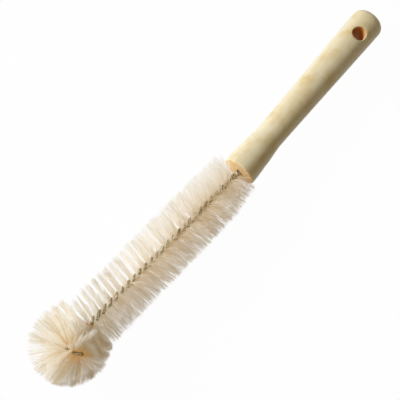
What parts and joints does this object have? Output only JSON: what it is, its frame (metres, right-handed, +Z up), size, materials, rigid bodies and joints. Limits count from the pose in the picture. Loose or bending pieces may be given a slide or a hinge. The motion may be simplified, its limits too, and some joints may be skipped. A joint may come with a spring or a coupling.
{
  "type": "bottle brush",
  "caption": "Bottle brush with a turned wooden handle, a twisted wire stem and natural bristles that end in a round head, lying on its side.",
  "frame": {"origin": "on the floor, under the middle of the box round the whole brush as it lies", "axes": "+X along the handle from its back end towards the head, +Z up from the floor"},
  "size_m": [0.393, 0.065, 0.0683],
  "materials": {
    "wood": "plain turned softwood, sanded, no varnish",
    "wire": "dull tinned steel wire",
    "bristles": "bleached natural bristle"
  },
  "bodies": {
    "root": {"handle": "wood", "stem_wire": "wire", "shank_bristles": "bristles", "head_bristles": "bristles"}
  },
  "joints": []
}
